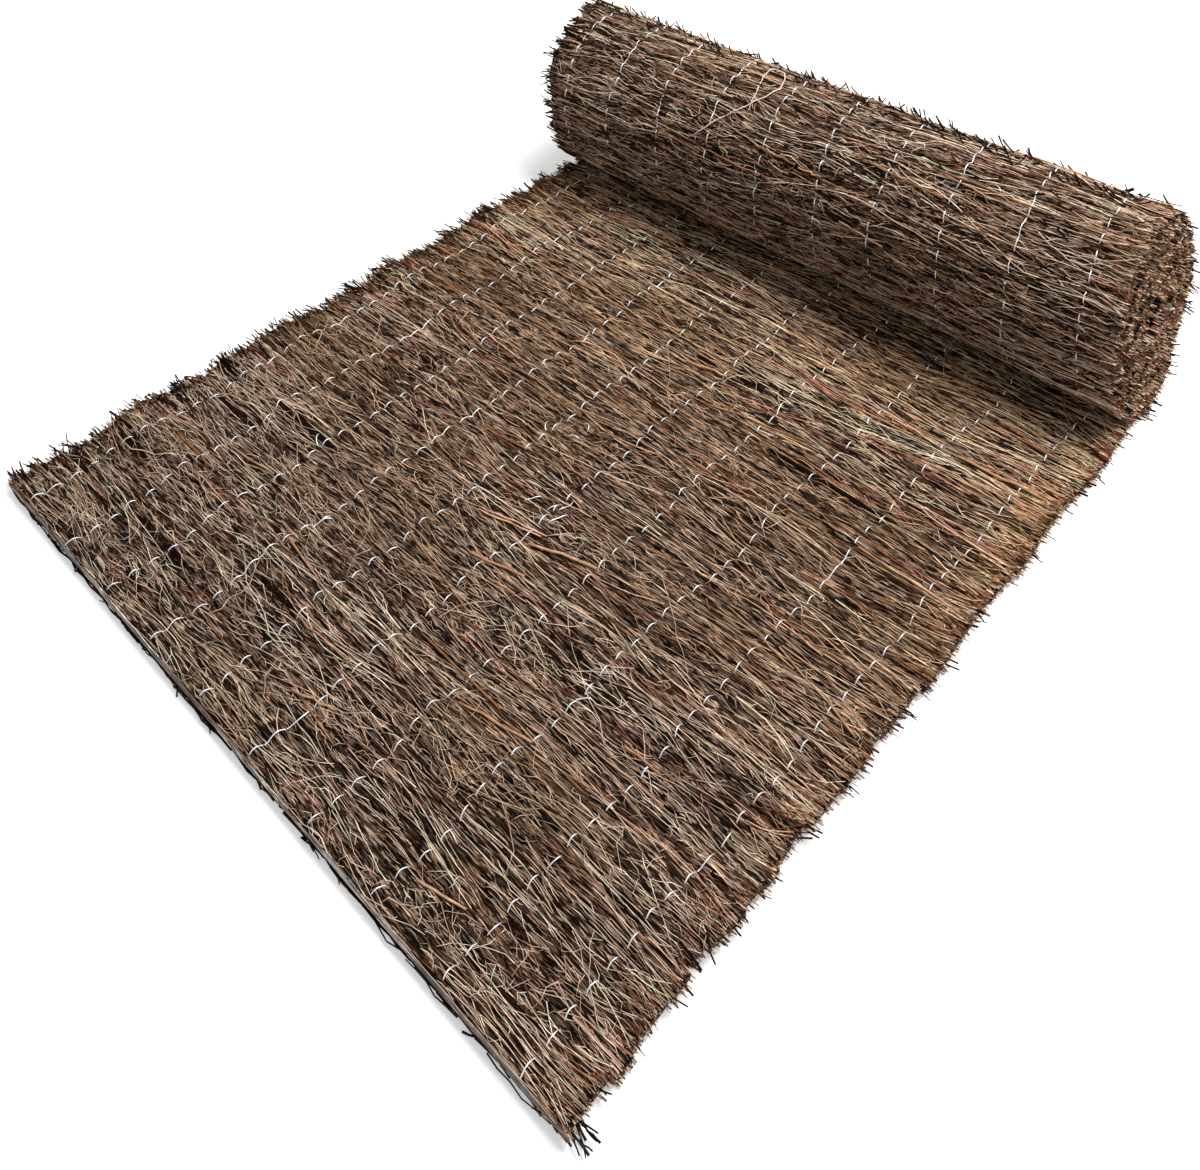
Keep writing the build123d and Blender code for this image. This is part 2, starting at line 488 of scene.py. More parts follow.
def lay_twigs(chance, along, y, length, lean, crook, curl, height, sections):
    """Paths of crooked twigs on the skin, each about its own middle, held back at the ragged edges."""
    count = len(along)
    step = (length / (sections - 1))[:, None]
    middles = (np.arange(sections - 1) - sections / 2 + 1)[None, :]
    bearing = flow(along[:, None], y[:, None] + middles * step)
    bearing = bearing + lean[:, None] + crook[:, None] * chance.normal(0, 1, (count, sections - 1))
    bearing = bearing + (curl * chance.normal(0, 1, count))[:, None] * middles * 2 / sections
    alongs = np.cumsum(np.concatenate([np.zeros((count, 1)), np.sin(bearing) * step], 1), 1)
    ys = np.cumsum(np.concatenate([np.zeros((count, 1)), np.cos(bearing) * step], 1), 1)
    alongs = along[:, None] + alongs - alongs.mean(1, keepdims=True)
    ys = y[:, None] + ys - ys.mean(1, keepdims=True)
    # Each twig stops at its own line near the left and the right edge
    left = left_edge(along) - chance.uniform(0.000, 0.016, count)
    right = -MAT_WIDTH / 2 - chance.uniform(-0.007, 0.004, count)
    ys = ys + np.minimum(0, left - ys.max(1))[:, None]
    ys = ys + np.maximum(0, right - ys.min(1))[:, None]
    alongs = parted(np.maximum(alongs, FIRST_PLACE), ys)
    share = np.linspace(-1, 1, sections)[None, :]
    rise = height[:, None] * (1 - 0.5 * row_nearness(ys)) + chance.normal(0, 0.0003, (count, sections))
    rise = rise - 0.0010 * share**6
    return skin_point(alongs, ys, rise)


def tapered(chance, thickness, sections, keep):
    """Radii that shrink from one end to the other, either way round."""
    share = np.linspace(0, 1, sections)[None, :]
    share = np.where(chance.random(len(thickness))[:, None] < 0.5, share, 1 - share)
    return thickness[:, None] / 2 * (1 - (1 - keep) * share)


def side_by_side(chance, start, end, spacing, length):
    """Places for packed twigs: rows at an even spacing along the mat, filled from edge to edge."""
    rows = int((end - start) / spacing)
    filled = int(2 * TWIG_SPREAD / length)
    row, place = [v.ravel() for v in np.meshgrid(np.arange(rows), np.arange(filled), indexing="ij")]
    along = start + (row + 0.5 + chance.uniform(-0.32, 0.32, row.size)) * spacing
    first = chance.random(rows)[row]
    y = -TWIG_SPREAD + np.mod(place + first + chance.uniform(-0.2, 0.2, row.size), filled) * length
    return along, y


def twigs_on_skin(name, chance, start, end, kind, gauge, dim):
    """Twigs of one kind over a stretch of the mat, the lowest dark, partly bark and partly painted shade, and
    the others pale.
    """
    twigs = bpy.context.scene.heather_twigs
    usual, spread, crook, curl, sections, fineness, low, high, pale = TWIG_KINDS[kind]
    if kind == "packed":
        along, y = side_by_side(chance, start, end, twigs.spacing * gauge, twigs.length * usual * 0.95)
    else:
        per_square_metre = {
            "long": twigs.long_count, "short": twigs.short_count,
            "fibres": twigs.fibre_count, "branches": twigs.branch_count, "loops": twigs.loop_count,
        }[kind]
        number = int(per_square_metre * (end - start) / gauge**2)
        along = chance.uniform(start, end, number)
        y = chance.uniform(-TWIG_SPREAD, TWIG_SPREAD, number)
    count = len(along)
    layer = chance.random(count)
    crooked = tangle(along, y)
    length = twigs.length * usual * np.clip(chance.lognormal(0, 0.35, count), 0.45, 2.2)
    lean = np.clip(spread * crooked * chance.standard_t(4, count), -1.2, 1.2)
    height = low + (high - low) * layer
    paths = lay_twigs(chance, along, y, length, lean, crook * crooked, curl * crooked, height, sections)
    thickness = twigs.thickness * gauge * fineness * np.clip(chance.lognormal(-0.03, 0.25, count), 0.55, 1.9)
    radii = tapered(chance, thickness, sections, 0.6)
    # The packed twigs are painted darker, as the shade that the others over them cast, and the lowest twigs
    # of each kind are dark, partly bark and partly painted shade
    fresh = (0.80 if kind == "packed" else 1.02) - dim
    tone = np.where(layer > 1 - pale, chance.normal(fresh, 0.22, count), chance.normal(0.08, 0.12, count))
    hues = twig_colours(chance, along, y, tone)
    twig_piece(name, paths, radii, outward(along, y), hues, chance)


# Materials
def add_node(tree, kind, inputs, **settings):
    """A shader node with its settings, and with a value or another node's socket for each input."""
    node = tree.nodes.new(f"ShaderNode{kind}")
    for name, value in settings.items():
        setattr(node, name, value)
    for key, value in inputs.items():
        if isinstance(value, bpy.types.NodeSocket):
            tree.links.new(value, node.inputs[key])
        else:
            node.inputs[key].default_value = value
    return node


def calculated(tree, operation, first, second, clamp=False):
    """The result of an operation on two values."""
    return add_node(tree, "Math", {0: first, 1: second}, operation=operation, use_clamp=clamp).outputs[0]


def stretched(tree, vector, factors):
    """Coordinates multiplied along each axis."""
    return add_node(tree, "VectorMath", {0: vector, 1: factors}, operation="MULTIPLY").outputs[0]


def ranged(tree, value, before, after):
    """A value between two limits, moved to between two others."""
    limits = {"From Min": before[0], "From Max": before[1], "To Min": after[0], "To Max": after[1]}
    return add_node(tree, "MapRange", {"Value": value, **limits}).outputs[0]


def noise(tree, vector, scale, detail):
    """A soft noise at a scale."""
    return add_node(tree, "TexNoise", {"Vector": vector, "Scale": scale, "Detail": detail})


def blended(tree, share, first, second, blend="MIX"):
    """Two colours blended by a share of the second."""
    colours = {"Factor": share, "A": first, "B": second}
    return add_node(tree, "Mix", colours, data_type="RGBA", blend_type=blend).outputs["Result"]


def multiplied(tree, colour, grey):
    """A colour multiplied by a grey value."""
    return blended(tree, 1.0, colour, grey, "MULTIPLY")


def new_group(name, inputs, outputs):
    """An empty node group with its sockets."""
    group = bpy.data.node_groups.new(name, "ShaderNodeTree")
    for label, kind, value in inputs:
        socket = group.interface.new_socket(label, in_out="INPUT", socket_type=kind)
        socket.default_value = value
    for label, kind in outputs:
        group.interface.new_socket(label, in_out="OUTPUT", socket_type=kind)
    return group, group.nodes.new("NodeGroupInput"), group.nodes.new("NodeGroupOutput")


def bark_grain():
    """Fine streaks and blotches along the twigs: a grey value, a roughness and a height."""
    if "Bark grain" in bpy.data.node_groups:
        return bpy.data.node_groups["Bark grain"]
    group, given, result = new_group(
        "Bark grain",
        [("Vector", "NodeSocketVector", (0, 0, 0)), ("Fineness", "NodeSocketFloat", 1.0)],
        [("Value", "NodeSocketFloat"), ("Roughness", "NodeSocketFloat"), ("Height", "NodeSocketFloat")],
    )
    place = given.outputs["Vector"]
    fineness = calculated(group, "MULTIPLY", given.outputs["Fineness"], 620.0)
    streaks = noise(group, stretched(group, place, (1.0, 0.08, 1.0)), fineness, 3.0).outputs[0]
    blotches = noise(group, place, 95.0, 2.0).outputs[0]
    both = calculated(group, "ADD", streaks, blotches)
    made = {
        "Value": ranged(group, both, (0.7, 1.3), (0.6, 1.4)),
        "Roughness": ranged(group, streaks, (0.3, 0.7), (0.62, 0.92)),
        "Height": streaks,
    }
    for name, socket in made.items():
        group.links.new(socket, result.inputs[name])
    return group


def new_material(name):
    """A material with its node tree and its shader."""
    material = bpy.data.materials.new(name)
    material.use_nodes = True
    return material, material.node_tree, material.node_tree.nodes["Principled BSDF"]


def object_place(tree):
    """Coordinates that stay with the piece."""
    return add_node(tree, "TexCoord", {}).outputs["Object"]


def grained(name, fineness, bump, colour):
    """A material with the bark's grain over the colour that a function makes in its tree."""
    material, tree, shader = new_material(name)
    inputs = {"Vector": object_place(tree), "Fineness": fineness}
    grain = add_node(tree, "Group", inputs, node_tree=bark_grain())
    raised = {"Strength": 0.6, "Distance": bump, "Height": grain.outputs["Height"]}
    made = {
        "Base Color": multiplied(tree, colour(tree), grain.outputs["Value"]),
        "Roughness": grain.outputs["Roughness"],
        "Normal": add_node(tree, "Bump", raised).outputs[0],
    }
    for name, socket in made.items():
        tree.links.new(socket, shader.inputs[name])
    shader.inputs["Specular IOR Level"].default_value = 0.03
    return material


def own_colour(tree):
    """Each twig's own colour, from its mesh."""
    return add_node(tree, "Attribute", {}, attribute_name="twig_colour").outputs["Color"]


def wood_colour(tree):
    """The plain colour of cut wood."""
    return (*bpy.context.scene.heather_colours.cut, 1)


def shaded_rod_colour(tree):
    """Thin crooked rods along the mat's width, some dark and some pale, with painted shade darkening the gaps
    between them.
    """
    colours = bpy.context.scene.heather_colours
    place = object_place(tree)
    sway = noise(tree, place, 30.0, 2.0).outputs["Color"]
    swayed = {0: sway, 1: (0.008, 0.0, 0.004), 2: place}
    off = add_node(tree, "VectorMath", swayed, operation="MULTIPLY_ADD").outputs[0]
    cells = {"Vector": stretched(tree, off, (1.0, 0.045, 0.8)), "Scale": 820.0}
    rods = add_node(tree, "TexVoronoi", cells)
    gaps = add_node(tree, "TexVoronoi", cells, feature="DISTANCE_TO_EDGE")
    # Painted shade: the colour falls to almost nothing towards the edges between the rods
    body = ranged(tree, gaps.outputs["Distance"], (0.10, 0.20), (0.02, 1.0))
    chosen = add_node(tree, "SeparateColor", {0: rods.outputs["Color"]}).outputs[0]
    tone = calculated(tree, "POWER", chosen, 2.1)
    fresh = [(a + b) / 2 for a, b in zip(colours.middle, colours.pale)]
    return multiplied(tree, blended(tree, tone, (*colours.core, 1), (*fresh, 1)), body)


def bark_material():
    """Bark in each twig's own colour."""
    if "Heather bark" in bpy.data.materials:
        return bpy.data.materials["Heather bark"]
    return grained("Heather bark", 1.0, 0.0004, own_colour)


def cut_material():
    """The sawn wood of the twigs' ends."""
    if "Cut wood" in bpy.data.materials:
        return bpy.data.materials["Cut wood"]
    return grained("Cut wood", 0.5, 0.0002, wood_colour)


def core_material():
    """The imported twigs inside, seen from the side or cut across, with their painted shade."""
    return grained("Packed heather", 0.45, 0.0016, shaded_rod_colour)


def wire_material():
    """Galvanized wire, a little dull and spotted."""
    material, tree, shader = new_material("Galvanized wire")
    bright = bpy.context.scene.heather_colours.wire
    dull = [c * 0.62 for c in bright]
    spots = noise(tree, object_place(tree), 260.0, 2.0).outputs[0]
    tree.links.new(blended(tree, spots, (*dull, 1), (*bright, 1)), shader.inputs["Base Color"])
    tree.links.new(ranged(tree, spots, (0.0, 1.0), (0.28, 0.55)), shader.inputs["Roughness"])
    shader.inputs["Metallic"].default_value = 1.0
    return material


# Operators
class HEATHER_OT_core(bpy.types.Operator):
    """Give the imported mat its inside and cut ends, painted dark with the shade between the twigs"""

    bl_idname = "heather.core"
    bl_label = "Packed mat"

    def execute(self, context):
        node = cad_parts["heather_mat"]
        node.data.materials.clear()
        node.data.materials.append(core_material())
        return {"FINISHED"}


class HEATHER_OT_flat_twigs(bpy.types.Operator):
    """Lay the twigs and fibres on the flat run"""

    bl_idname = "heather.flat_twigs"
    bl_label = "Twigs on the flat run"

    def execute(self, context):
        for seed, (name, start, end, gauge, dim) in enumerate(STRETCHES):
            for step, kind in enumerate(TWIG_KINDS):
                chance = np.random.default_rng(100 + 10 * seed + step)
                twigs_on_skin(f"{kind}_{name}", chance, start, end, kind, gauge, dim)
        return {"FINISHED"}


class HEATHER_OT_roll_twigs(bpy.types.Operator):
    """Lay the twigs and fibres round the outside of the roll"""

    bl_idname = "heather.roll_twigs"
    bl_label = "Twigs on the roll"

    # Coarseness and how much darker, as for a stretch of the flat run
    gauge = 1.1
    dim = 0.14

    def execute(self, context):
        start, end = FLAT_LENGTH + 0.004, FLAT_LENGTH + OUTER_TURN
        for step, kind in enumerate(TWIG_KINDS):
            chance = np.random.default_rng(200 + step)
            twigs_on_skin(f"{kind}_roll", chance, start, end, kind, self.gauge, self.dim)
        return {"FINISHED"}


class HEATHER_OT_edge_twigs(bpy.types.Operator):
    """Add the frayed twigs of the left edge and the short cut twigs of the right edge"""

    bl_idname = "heather.edge_twigs"
    bl_label = "Edge twigs"

    # How many more twigs the frayed left edge has than the right one
    left_share = 1.4

    def execute(self, context):
        for name, sign, seed in (("left", 1, 301), ("right", -1, 302)):
            self.lay_edge(context.scene.heather_twigs, name, sign, np.random.default_rng(seed))
        return {"FINISHED"}

    def lay_edge(self, twigs, name, sign, chance):
        """The twigs that stick out at the left edge (1) or the right (-1)."""
        count = int(twigs.edge_count * (self.left_share if sign > 0 else 1.0))
        along = chance.uniform(0.0, FLAT_LENGTH + OUTER_TURN, count)
        edge = bundle_edge(sign, along)
        bundle = np.floor(along / BUNDLE_PITCH)
        along = (bundle + 0.5 + np.clip(chance.normal(0, 0.24, count), -0.48, 0.48)) * BUNDLE_PITCH
        length = chance.uniform(0.025, 0.06, count)
        # On the left the twigs of a bundle stick out as a tuft, and on the right only a few are loose
        tuft = 0.5 + 1.1 * chance.random(int(bundle.max()) + 1)[bundle.astype(int)]
        frayed = np.clip(0.003 + chance.exponential(0.0066, count) * tuft, 0, 0.024)
        loose = chance.random(count) < 0.09
        stub = np.where(loose, chance.uniform(0.006, 0.016, count), chance.uniform(-0.001, 0.003, count))
        reach = frayed if sign > 0 else stub
        sections = 4
        share = np.linspace(0, 1, sections)[None, :]
        ys = edge[:, None] + sign * (reach[:, None] - length[:, None] * (1 - share))
        splay = chance.normal(0, 0.14, len(bundle) + 1)[bundle.astype(int)]
        lean = splay + chance.normal(0, 0.14, count)
        alongs = along[:, None] + lean[:, None] * length[:, None] * share**1.5
        depth = chance.uniform(0, 1, count) ** 0.6
        heights = 0.0028 - MAT_THICKNESS * (1 - depth[:, None])
        heights = heights + chance.normal(0, 0.05, (count, 1)) * 0.03 * share
        # The short twigs of the right edge turn their cut ends up
        heights = heights + np.where(loose | (sign > 0), 0, 0.003)[:, None] * share**3
        paths = skin_point(np.maximum(alongs, FIRST_PLACE), ys, heights)
        paths[..., 2] = np.maximum(paths[..., 2], LOW_TWIG)
        dark = reach > 0.005 if sign > 0 else loose
        thickness = twigs.thickness * np.clip(chance.lognormal(0.25, 0.25, count), 0.7, 2.2)
        radii = (thickness * (1 + 1.1 * dark))[:, None] / 2 * np.linspace(1, 0.75, sections)[None, :]
        tone = np.where(dark, chance.normal(0.0, 0.06, count), chance.normal(0.62, 0.32, count))
        hues = twig_colours(chance, along, ys[:, 0], tone)
        ups = outward(along, ys[:, 0])
        twig_piece(f"edge_twigs_{name}", paths, radii, ups, hues, chance, cut_caps=sign < 0)


class HEATHER_OT_cut_ends(bpy.types.Operator):
    """Fill both ends of every bundle with cut twig ends"""

    bl_idname = "heather.cut_ends"
    bl_label = "Cut ends"

    # How far a cut end's short tube goes back into the mat
    rooted = 0.008

    def execute(self, context):
        twigs = context.scene.heather_twigs
        bundles = FLAT_BUNDLES + ROLL_BUNDLES
        count = twigs.end_count * bundles
        for name, sign, seed in (("left", 1, 401), ("right", -1, 402)):
            chance = np.random.default_rng(seed)
            along = chance.uniform(0, bundles * BUNDLE_PITCH - 0.01, count)
            above = chance.uniform(0.0, MAT_THICKNESS + 0.0035, count)
            reach = np.clip(chance.exponential(0.0020, count) + 0.0004, 0, 0.008)
            outwards = np.stack([np.full(count, -self.rooted), reach], 1)
            ys = bundle_edge(sign, along)[:, None] + sign * outwards
            drift = chance.normal(0, 0.0016, (count, 2)) * [0, 1]
            paths = mat_point(along[:, None] + drift, ys, above[:, None] + drift[:, ::-1])
            thickness = twigs.thickness * np.clip(chance.lognormal(0.30, 0.35, count), 0.6, 2.8)
            radii = np.repeat(thickness[:, None] / 2, 2, 1)
            hues = twig_colours(chance, along, ys[:, 0], chance.normal(0.50, 0.35, count))
            ups = np.tile([0.0, 0.0, 1.0], (count, 1))
            twig_piece(f"cut_ends_{name}", paths, radii, ups, hues, chance, cut_caps=True)
        return {"FINISHED"}


class HEATHER_OT_thick_twigs(bpy.types.Operator):
    """Lay the few thick twigs that stand out, bare or pale"""

    bl_idname = "heather.thick_twigs"
    bl_label = "Thick twigs"

    # Those with a place of their own: from and to, along and across the mat, thickness, how bare of bark
    seen = [
        ((0.376, -0.064), (0.402, -0.152), 0.0042, 1.0),
        ((0.318, -0.030), (0.338, -0.100), 0.0038, 1.0),
        ((0.308, -0.072), (0.312, -0.112), 0.0034, 0.6),
        ((0.265, -0.320), (0.268, -0.364), 0.0030, 0.8),
        ((0.042, -0.268), (0.056, -0.320), 0.0032, 0.8),
        ((0.076, -0.016), (0.092, -0.074), 0.0032, 0.7),
        ((0.182, -0.168), (0.204, -0.252), 0.0034, 0.7),
        ((0.747, 0.005), (0.757, -0.060), 0.0050, 0.9),
        ((0.830, -0.370), (0.835, -0.485), 0.0036, 0.9),
        ((0.957, -0.290), (0.960, -0.330), 0.0034, 0.7),
        ((0.372, 0.020), (0.392, -0.070), 0.0026, 0.2),
        ((0.377, 0.012), (0.397, -0.074), 0.0024, 0.2),
        ((1.621, 0.052), (1.625, -0.012), 0.0042, 0.5),
        ((1.627, -0.018), (1.627, -0.058), 0.0030, 0.9),
    ]
    # A long thin twig that bends back in a loop on the roll: its points round the roll and across it
    curled = [
        (0.566, 0.172), (0.538, 0.144), (0.506, 0.106), (0.470, 0.076), (0.450, 0.068), (0.428, 0.074),
        (0.405, 0.092), (0.400, 0.108), (0.415, 0.114), (0.440, 0.108), (0.470, 0.098), (0.505, 0.094),
    ]

    # How many more lie where chance puts them
    more = 44

    def execute(self, context):
        chance = np.random.default_rng(600)
        self.lay_thick(chance, context.scene.heather_colours)
        self.lay_curled(chance)
        return {"FINISHED"}

    def lay_thick(self, chance, colours):
        """The nearly straight ones: those placed above and those by chance."""
        more = self.more
        on_roll = chance.random(more) < 0.35
        places_on_roll = FLAT_LENGTH + chance.uniform(0.25, 0.7, more)
        along = np.where(on_roll, places_on_roll, chance.uniform(0.02, 1.0, more))
        y = chance.uniform(-0.44, 0.44, more)
        length = chance.uniform(0.05, 0.16, more)
        lean = chance.normal(0, 0.12, more)
        starts, ends, thickness, bare = [np.array(column) for column in zip(*self.seen)]
        starts = np.concatenate([starts, np.stack([along, y + length / 2], 1)])
        ends = np.concatenate([ends, np.stack([along + lean * length, y - length / 2], 1)])
        thickness = np.concatenate([thickness, chance.uniform(0.0020, 0.0030, more)])
        bare = np.concatenate([bare, chance.uniform(0.0, 0.45, more)])
        sections = 7
        share = np.linspace(0, 1, sections)[None, :, None]
        flat = starts[:, None] + (ends - starts)[:, None] * share
        flat = flat + chance.normal(0, 0.0010, flat.shape) * np.sin(math.pi * share)
        height = np.repeat(thickness[:, None] * 0.45 + 0.0013, sections, 1)
        paths = skin_point(flat[..., 0], np.clip(flat[..., 1], -0.5, 0.5), height)
        ups = outward(starts[:, 0], starts[:, 1])
        hues = twig_colours(chance, starts[:, 0], starts[:, 1], chance.normal(0.6, 0.1, len(starts)))
        hues = mixed(hues, np.array(colours.orange), 0.75 * bare)
        radii = tapered(chance, thickness, sections, 0.75)
        twig_piece("thick_twigs", paths, radii, ups, hues, chance, sides=6, cut_caps=True)

    def lay_curled(self, chance):
        """The long thin one that bends back, rounded off between its points."""
        knots = np.array(self.curled) + [FLAT_LENGTH, 0]
        sections = 45
        place = np.linspace(0, len(knots) - 1, sections)
        curve = np.stack([np.interp(place, np.arange(len(knots)), column) for column in knots.T], -1)
        for smoothing in range(4):
            curve[1:-1] = (curve[:-2] + 2 * curve[1:-1] + curve[2:]) / 4
        along, y = curve[None, :, 0], curve[None, :, 1]
        paths = skin_point(along, y, 0.0028)
        radii = np.linspace(0.0010, 0.0006, sections)[None]
        hues = twig_colours(chance, along[:, 0], y[:, 0], np.array([0.95]))
        ups = outward(along, y)
        twig_piece("curled_twig", paths, radii, ups, hues, chance, sides=5, cut_caps=True)


class HEATHER_OT_clefts(bpy.types.Operator):
    """Lay twigs in the clefts, painted near black as the shade down in them"""

    bl_idname = "heather.clefts"
    bl_label = "Twigs in the clefts"

    # How many twigs lie side by side in a cleft
    deep = 9

    def execute(self, context):
        chance = np.random.default_rng(650)
        sections = 4
        place, start, end, half = [np.repeat(column, self.deep) for column in np.array(CLEFTS).T]
        side = np.tile(np.linspace(-0.9, 0.9, self.deep), len(CLEFTS))
        share = np.linspace(0, 1, sections)[None, :]
        narrow = 0.4 + 0.6 * np.sin(math.pi * share)
        wobble = chance.normal(0, 0.0003, (len(side), sections))
        alongs = place[:, None] + (side * half)[:, None] * narrow + wobble
        ys = start[:, None] + (end - start)[:, None] * (share + chance.normal(0, 0.05, (len(side), 1)))
        paths = skin_point(alongs, ys, 0.0002)
        radii = np.repeat(half[:, None] * 0.13, sections, 1)
        # Painted shade: the cleft twigs take the inside's almost black colour for the shade in the clefts
        hues = np.array(context.scene.heather_colours.core) * chance.uniform(0.3, 3.0, (len(side), 1))
        twig_piece("cleft_shade_twigs", paths, radii, outward(place, start), hues, chance)
        return {"FINISHED"}


class HEATHER_OT_strays(bpy.types.Operator):
    """Leave stray twigs along the near edge and sticking up from the roll"""

    bl_idname = "heather.strays"
    bl_label = "Stray twigs"

    sections = 6
    # How many lie along the near edge's foot, on its wall and up on the roll
    counts = (170, 420, 760)
    # For each of the three: thinnest, thickest, how dark or pale with its spread, and how grey
    thinnest = (0.0018, 0.0010, 0.0022)
    thickest = (0.0028, 0.0018, 0.0032)
    tones = (0.02, 0.75, 0.0)
    tone_spreads = (0.1, 0.25, 0.08)
    greyness = (0.8, 0.7, 0.0)

    def execute(self, context):
        chance = np.random.default_rng(700)
        share = np.linspace(-0.5, 0.5, self.sections)[None, :]
        near, side, top = self.counts
        lying = self.lying(chance, near, share)
        walled = self.walled(chance, side, share)
        standing, along, y = self.standing(chance, top, share)
        paths = np.concatenate([lying, walled, standing])
        ups = np.concatenate([np.tile([0.0, 0.0, 1.0], (near + side, 1)), outward(along, y)])
        low, high, usual, spread, greyness = [
            np.repeat(values, self.counts)
            for values in (self.thinnest, self.thickest, self.tones, self.tone_spreads, self.greyness)
        ]
        thickness = chance.uniform(low, high)
        tone = chance.normal(usual, spread)
        hues = twig_colours(chance, np.concatenate([np.zeros(near + side), along]), paths[:, 0, 1], tone)
        grey = hues.mean(1, keepdims=True) * [1.0, 0.97, 0.92]
        hues = mixed(hues, grey, greyness)
        radii = tapered(chance, thickness, self.sections, 0.6)
        twig_piece("stray_twigs", paths, radii, ups, hues, chance)
        return {"FINISHED"}

    def lying(self, chance, count, share):
        """Paths of twigs that lie on the floor along the near edge, with a few past its right corner."""
        hooked = chance.random(count) < 0.2
        length = np.where(hooked, chance.uniform(0.02, 0.035, count), chance.uniform(0.04, 0.13, count))
        y = -0.505 + length / 2 + chance.random(count) * (1.02 - length)
        corner = np.arange(count) < 8
        length = np.where(corner, chance.uniform(0.018, 0.034, count), length)
        y = np.where(corner, chance.uniform(-0.512, -0.498, count), y)
        out = -chance.exponential(0.0010, count) - 0.0012
        bow = chance.uniform(0, 0.003, count) * (chance.random(count) < 0.35) * ~corner
        lean = np.where(hooked | corner, chance.normal(0, 0.30, count), chance.normal(0, 0.02, count))
        waves = np.minimum(0.0014, 0.016 * length)[:, None] * chance.normal(0, 1, (count, self.sections))
        bowed = out[:, None] - bow[:, None] * np.cos(math.pi * share)
        xs = bowed + lean[:, None] * length[:, None] * share + waves
        xs = np.clip(xs, -0.011, 0.002) + np.where(corner, chance.uniform(0, 0.022, count), 0)[:, None]
        ys = y[:, None] + length[:, None] * share
        zs = np.maximum(chance.uniform(0.002, 0.010, count)[:, None] + 0.3 * xs, LOW_TWIG)
        return np.stack([xs - MIDDLE_X, ys - MIDDLE_Y, zs], -1)

    def walled(self, chance, count, share):
        """Paths of twigs that lie side by side on the near edge's wall, from its top to its foot."""
        y = chance.uniform(-0.5, 0.5, count)
        length = chance.uniform(0.04, 0.16, count)
        ys = np.clip(y[:, None] + length[:, None] * share, -0.500, 0.505)
        wall, top = 0.0145, 0.0215
        down = chance.uniform(0.0, wall, count)
        bulge = -0.0004 - 0.0022 * np.sin(math.pi * down / wall)
        xs = bulge[:, None] + chance.normal(0, 0.0003, (count, self.sections))
        zs = top - down[:, None] + chance.normal(0, 0.0004, (count, self.sections))
        return np.stack([xs - MIDDLE_X, ys - MIDDLE_Y, zs], -1)

    def standing(self, chance, count, share):
        """Paths of short twigs that stick up from the roll, most of them along its top, and their places."""
        crowded = chance.random(count) < 0.6
        on_top = chance.uniform(0.27, 0.42, count)
        along = FLAT_LENGTH + np.where(crowded, on_top, chance.uniform(0.02, OUTER_TURN - 0.1, count))
        y = chance.uniform(-0.49, 0.49, count)
        length = chance.uniform(0.008, 0.019, count)
        lean = chance.normal(0, 0.45, count)
        rise = np.clip(chance.exponential(0.0055, count), 0, 0.0115)
        height = 0.0012 + rise[:, None] * (share + 0.5) ** 1.5
        alongs = along[:, None] + lean[:, None] * length[:, None] * share
        way = np.where(chance.random(count) < 0.8, length, -length)
        ys = np.clip(y[:, None] + way[:, None] * share, -0.5, 0.5)
        return skin_point(alongs, ys, height), along, y


def wire_path(chance, row, last, on_face):
    """A wire that arches over each bundle and dives between it and the next."""
    wire = bpy.context.scene.heather_wire
    steps = 6 if on_face else 5
    count = last * steps + 1
    along = np.arange(count) * BUNDLE_PITCH / steps
    share = np.mod(np.arange(count), steps) / steps
    number = np.floor(along / BUNDLE_PITCH).astype(int)
    # The row strays by a random walk whose slow drift is taken out
    knots = np.cumsum(chance.normal(0, 0.5, last + 2))
    reach = 6
    window = np.ones(2 * reach + 1) / (2 * reach + 1)
    knots = knots - np.convolve(np.pad(knots, reach, mode="edge"), window, "valid")
    stray = np.interp(along / BUNDLE_PITCH, np.arange(last + 2), knots) * wire.wander
    bow = chance.normal(0, 0.0012, last + 2)[number] * np.sin(math.pi * share)
    y = ROW_PLACES[row] + stray + bow
    arch = np.sin(math.pi * share) ** 0.9
    # Here and there a wire is held up between two bundles
    held = chance.random(last + 2) < (0.06 if on_face else 0.18)
    held = np.maximum(held[number] * (share < 0.5), np.roll(held, 1)[number] * (share >= 0.5)) > 0
    dive = np.where(held, -0.6 * wire.arch, wire.dive)
    height = wire.arch * chance.uniform(0.7, 1.15, last + 2)[number] * arch - dive * (1 - arch)
    if on_face:
        return mat_point(along, y, face_height(along) + height)
    flat = along < FLAT_LENGTH
    low = 0.0006 + 0.0006 * np.sin(math.pi * share)
    # Low on the roll's front the twigs hide more of the wire
    sunk = 0.0016 * np.clip((along - FLAT_LENGTH - 0.50) / 0.18, 0, 1)
    return back_point(along, y, np.where(flat, low, height - sunk))


